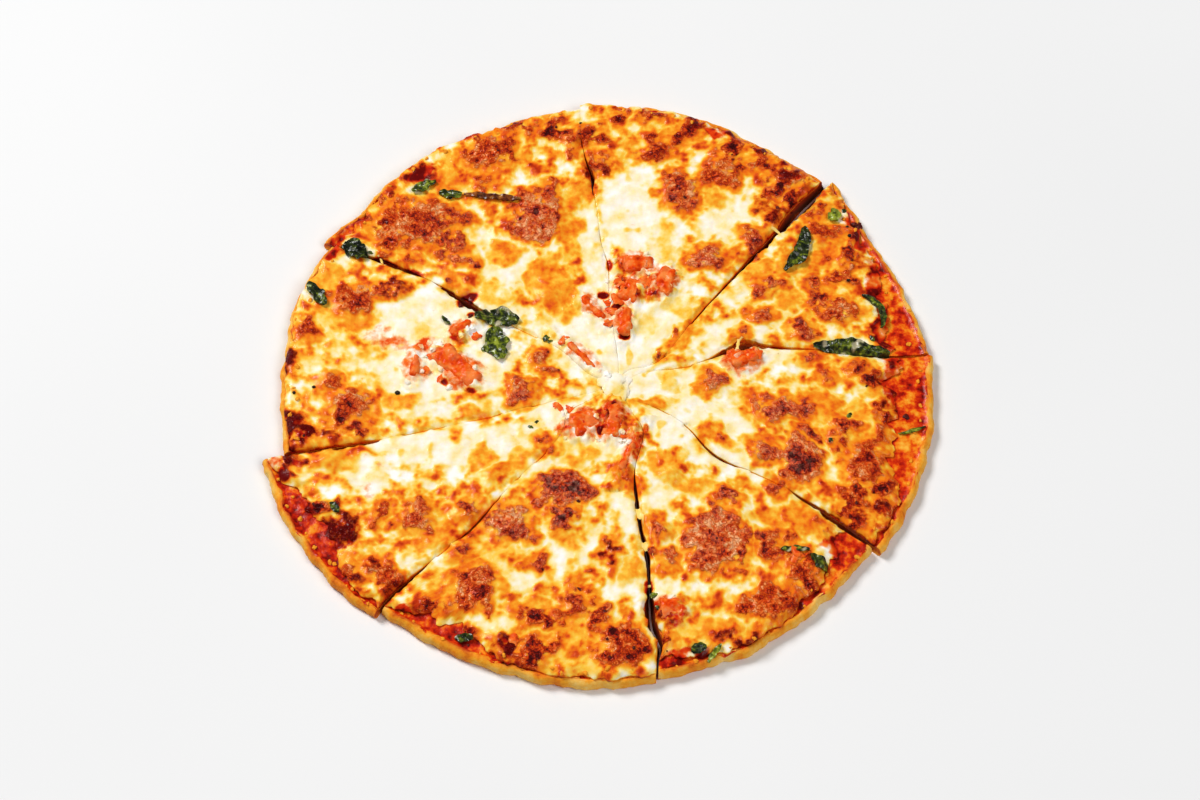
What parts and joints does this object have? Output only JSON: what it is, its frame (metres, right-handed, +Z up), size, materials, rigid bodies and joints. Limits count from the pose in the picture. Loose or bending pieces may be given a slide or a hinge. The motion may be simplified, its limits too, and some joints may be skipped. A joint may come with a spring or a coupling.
{
  "type": "spinach pizza",
  "caption": "Thin round pizza with browned melted cheese, diced tomato and spinach, cut in wedges that still lie together as the whole.",
  "frame": {"origin": "on the flat underside, below the middle of the whole pizza's outline", "axes": "+Z up through the toppings, -Y towards the near edge of the pizza, +X to its right"},
  "size_m": [0.3118, 0.3102, 0.0128],
  "materials": {
    "crust": "thin baked dough, dry and golden, darker at its edge",
    "sauce": "cooked tomato sauce, moist",
    "cheese": "melted cheese, white to golden with browned blisters, slightly oily",
    "tomato": "diced tomato, wet",
    "spinach": "wilted leaf, thin and slightly glossy"
  },
  "bodies": {
    "root": {"crust_1": "crust", "crust_2": "crust", "crust_3": "crust", "crust_4": "crust", "crust_5": "crust", "crust_6": "crust", "crust_7": "crust", "crust_8": "crust", "sauce_1": "sauce", "sauce_2": "sauce", "sauce_3": "sauce", "sauce_4": "sauce", "sauce_5": "sauce", "sauce_6": "sauce", "sauce_7": "sauce", "sauce_8": "sauce", "cheese_1": "cheese", "cheese_2": "cheese", "cheese_3": "cheese", "cheese_4": "cheese", "cheese_5": "cheese", "cheese_6": "cheese", "cheese_7": "cheese", "cheese_8": "cheese", "tomato_1": "tomato", "tomato_2": "tomato", "tomato_3": "tomato", "tomato_4": "tomato", "tomato_5": "tomato", "tomato_6": "tomato", "tomato_7": "tomato", "tomato_8": "tomato", "tomato_9": "tomato", "tomato_10": "tomato", "tomato_11": "tomato", "tomato_12": "tomato", "tomato_13": "tomato", "tomato_14": "tomato", "spinach_1": "spinach", "spinach_2": "spinach", "spinach_3": "spinach", "spinach_4": "spinach", "spinach_5": "spinach", "spinach_6": "spinach", "spinach_7": "spinach", "spinach_8": "spinach", "spinach_9": "spinach", "spinach_10": "spinach", "spinach_11": "spinach", "spinach_12": "spinach", "spinach_13": "spinach", "spinach_14": "spinach", "spinach_15": "spinach", "spinach_16": "spinach", "spinach_17": "spinach", "spinach_18": "spinach", "spinach_19": "spinach"}
  },
  "joints": []
}
